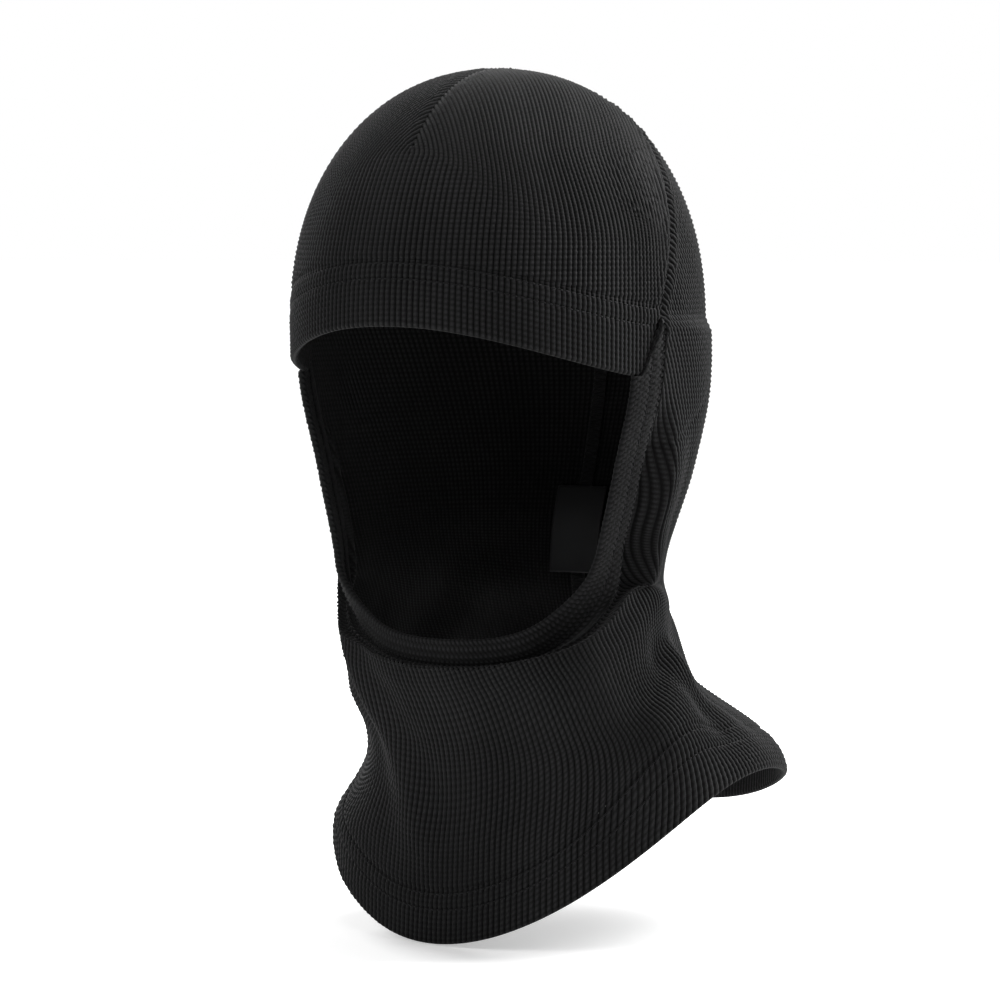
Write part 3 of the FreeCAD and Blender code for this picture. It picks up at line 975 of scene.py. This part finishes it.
PIECES = (
    (hood, "hood_panel", "rib_knit"),
    (cap, "cap_panel", "rib_knit"),
    (forehead, "forehead_hem_ply", "rib_knit"),
    (forehead_stitch, "forehead_cover_stitch", "sewing_thread"),
    (face, "face_hem_ply", "rib_knit"),
    (face_stitch, "face_cover_stitch", "sewing_thread"),
    (bottom, "bottom_hem_ply", "rib_knit"),
    (bottom_stitch, "bottom_cover_stitch", "sewing_thread"),
    (cap_strip, "cap_seam_allowance", "rib_knit"),
    (cap_threads, "cap_seam_overlock", "sewing_thread"),
    (dart_strip, "dart_allowance", "rib_knit"),
    (dart_threads, "dart_overlock", "sewing_thread"),
    (back_strip, "back_seam_allowance", "rib_knit"),
    (back_threads, "back_seam_overlock", "sewing_thread"),
    (label, "care_label", "label_tape"),
)
for piece, node, finish_slot in PIECES:
    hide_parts(node)
    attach(piece, "root")


# ------------------------------------------------------ camera, floor, light

def look_from(azimuth, elevation, distance, aim):
    a = math.radians(azimuth)
    e = math.radians(elevation)
    back = Vector((math.sin(a) * math.cos(e), -math.cos(a) * math.cos(e), math.sin(e)))
    camera = bpy.data.objects.new("camera", bpy.data.cameras.new("camera"))
    camera.data.lens = 150.0
    camera.data.sensor_width = 36.0
    camera.location = Vector(aim) + back * distance
    camera.rotation_mode = "QUATERNION"
    camera.rotation_quaternion = (-back).to_track_quat("-Z", "Y")
    camera.data.clip_end = 100.0
    bpy.context.scene.collection.objects.link(camera)
    bpy.context.scene.camera = camera


def soft_box(name, place, aim, size, power):
    lamp = bpy.data.lights.new(name, "AREA")
    lamp.shape = "RECTANGLE"
    lamp.size, lamp.size_y = size
    lamp.energy = power
    made = bpy.data.objects.new(name, lamp)
    made.location = place
    made.rotation_mode = "QUATERNION"
    made.rotation_quaternion = (Vector(aim) - Vector(place)).to_track_quat("-Z", "Y")
    bpy.context.scene.collection.objects.link(made)


def studio_floor(level):
    """A pale floor with painted light: for camera rays it glows, weakly near the object so that its shadow
    shows there, and up to white further away.
    """
    mesh = bpy.data.meshes.new("studio_floor")
    reach = 60.0
    mesh.from_pydata([(-reach, -reach, level), (reach, -reach, level), (reach, reach, level),
                      (-reach, reach, level)], [], [(0, 1, 2, 3)])
    made = bpy.data.objects.new("studio_floor", mesh)
    bpy.context.scene.collection.objects.link(made)
    material = bpy.data.materials.new("pale_floor_painted_glow")
    material.use_nodes = True
    nodes = material.node_tree.nodes
    links = material.node_tree.links
    shader = nodes["Principled BSDF"]
    shader.inputs["Base Color"].default_value = (0.86, 0.86, 0.86, 1)
    shader.inputs["Roughness"].default_value = 0.9
    shader.inputs["Specular IOR Level"].default_value = 0.1
    place = nodes.new("ShaderNodeNewGeometry")
    length = nodes.new("ShaderNodeVectorMath")
    length.operation = "LENGTH"
    links.new(place.outputs["Position"], length.inputs[0])
    ramp = nodes.new("ShaderNodeMapRange")
    ramp.inputs["From Min"].default_value = 0.25
    ramp.inputs["From Max"].default_value = 1.1
    ramp.inputs["To Min"].default_value = 0.35
    ramp.inputs["To Max"].default_value = 1.0
    links.new(length.outputs["Value"], ramp.inputs["Value"])
    # Painted light: the floor glows for camera rays only, more strongly further from the middle.
    ray = nodes.new("ShaderNodeLightPath")
    painted_glow_strength = nodes.new("ShaderNodeMath")
    painted_glow_strength.operation = "MULTIPLY"
    links.new(ramp.outputs["Result"], painted_glow_strength.inputs[0])
    links.new(ray.outputs["Is Camera Ray"], painted_glow_strength.inputs[1])
    shader.inputs["Emission Color"].default_value = (1, 1, 1, 1)
    links.new(painted_glow_strength.outputs[0], shader.inputs["Emission Strength"])
    mesh.materials.append(material)
    made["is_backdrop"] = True


def pale_world():
    world = bpy.data.worlds.new("studio_world")
    bpy.context.scene.world = world
    world.use_nodes = True
    nodes = world.node_tree.nodes
    links = world.node_tree.links
    light = nodes["Background"]
    light.inputs["Color"].default_value = (1, 1, 1, 1)
    ray = nodes.new("ShaderNodeLightPath")
    strength = nodes.new("ShaderNodeMapRange")
    strength.inputs["To Min"].default_value = 0.2
    strength.inputs["To Max"].default_value = 1.0
    links.new(ray.outputs["Is Camera Ray"], strength.inputs["Value"])
    links.new(strength.outputs["Result"], light.inputs["Strength"])


look_from(26.5, 3.5, 1.690, (0.0, 0.0, -0.052))
studio_floor(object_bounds()[0].z - 0.0005)
pale_world()
soft_box("key_light", (-0.75, -1.25, 0.95), (0, 0, -0.03), (0.9, 0.9), 10.0)
soft_box("fill_light", (1.5, -1.1, 0.2), (0, 0, -0.08), (1.0, 1.2), 2.6)
soft_box("back_light", (1.0, 1.1, 0.9), (0.02, 0, 0), (0.7, 0.9), 42.0)
soft_box("left_back_light", (-1.3, 0.9, 0.7), (0, 0, 0), (0.6, 0.9), 24.0)
soft_box("top_light", (0.05, 0.15, 1.25), (0, 0, 0), (0.8, 0.8), 9.0)
bpy.context.scene.view_settings.view_transform = "Standard"
